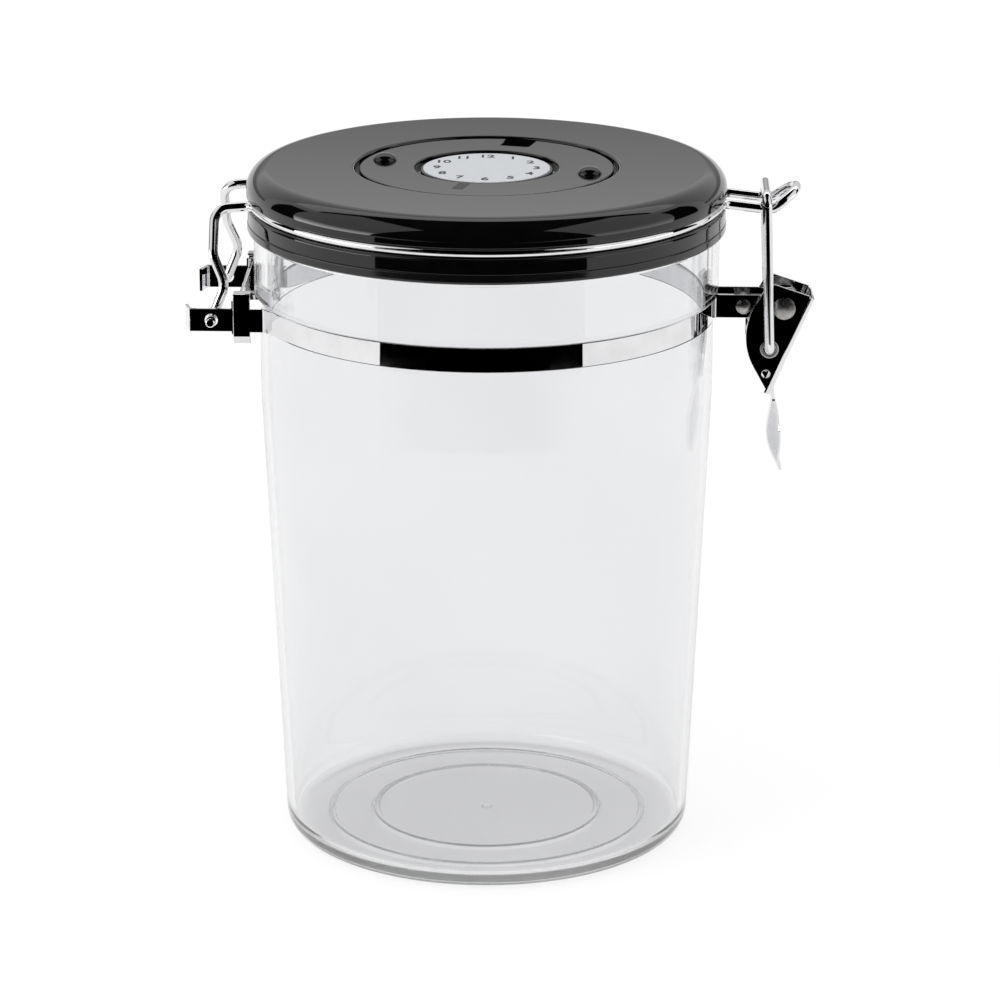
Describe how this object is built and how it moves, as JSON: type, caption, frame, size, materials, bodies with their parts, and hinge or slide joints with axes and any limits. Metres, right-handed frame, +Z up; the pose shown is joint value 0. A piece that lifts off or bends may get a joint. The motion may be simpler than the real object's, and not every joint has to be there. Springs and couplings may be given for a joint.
{
  "type": "clamp-lid canister",
  "caption": "Clear tapered canister with a glossy black clamp lid, date dial, chrome wire bail and over-centre latch.",
  "frame": {"origin": "the middle of the whole box, on the table; the jar's axis stands 4.3 mm from it, towards the hinge", "axes": "+Z up along the jar's axis, +X towards the latch, -X towards the hinge, -Y towards the viewer of the picture"},
  "size_m": [0.1645, 0.1264, 0.184],
  "materials": {
    "clear_plastic": "clear, polished",
    "black_gloss": "glossy black",
    "seal_rubber": "matt dark grey",
    "bright_steel": "bright plated",
    "rivet_steel": "satin",
    "dial_white": "matt white",
    "valve_silicone": "translucent white",
    "filter_felt": "felt"
  },
  "bodies": {
    "canister": {"jar": "clear_plastic", "band_front": "bright_steel", "band_rear": "bright_steel", "hinge_bracket": "bright_steel", "ear_spacer": "rivet_steel", "ear_rivet": "rivet_steel", "pivot_bush": "rivet_steel", "lever_pivot": "rivet_steel"},
    "lid": {"seal": "seal_rubber", "lid_base": "black_gloss", "lid_cap": "black_gloss", "bail": "bright_steel", "dial_hub": "black_gloss", "dial_face": "dial_white", "hub_retainer": "rivet_steel", "valve_seat": "black_gloss", "valve_flap": "valve_silicone", "valve_filter": "filter_felt", "valve_cover": "black_gloss"},
    "date_ring": {"turn_ring": "black_gloss"},
    "latch_lever": {"lever": "bright_steel"},
    "latch_link": {"link": "bright_steel"}
  },
  "joints": [
    {"name": "lid_hinge", "type": "hinge", "parent": "canister", "child": "lid", "pos_m": [-0.0752, 0, 0.146], "axis": [0, -1, 0], "range_deg": [0, 72]},
    {"name": "ring_turn", "type": "hinge", "parent": "lid", "child": "date_ring", "pos_m": [-0.0043, 0, 0.181], "axis": [0, 0, 1], "continuous": true},
    {"name": "lever_hinge", "type": "hinge", "parent": "canister", "child": "latch_lever", "pos_m": [0.0742, 0, 0.146], "axis": [0, -1, 0], "range_deg": [0, 105]},
    {"name": "link_hinge", "type": "hinge", "parent": "latch_lever", "child": "latch_link", "pos_m": [0.0705, 0, 0.1349], "axis": [0, -1, 0], "range_deg": [-80, 0]}
  ],
  "couplings": [
    {"joint": "link_hinge", "follows": "lever_hinge", "ratio": -0.76}
  ]
}
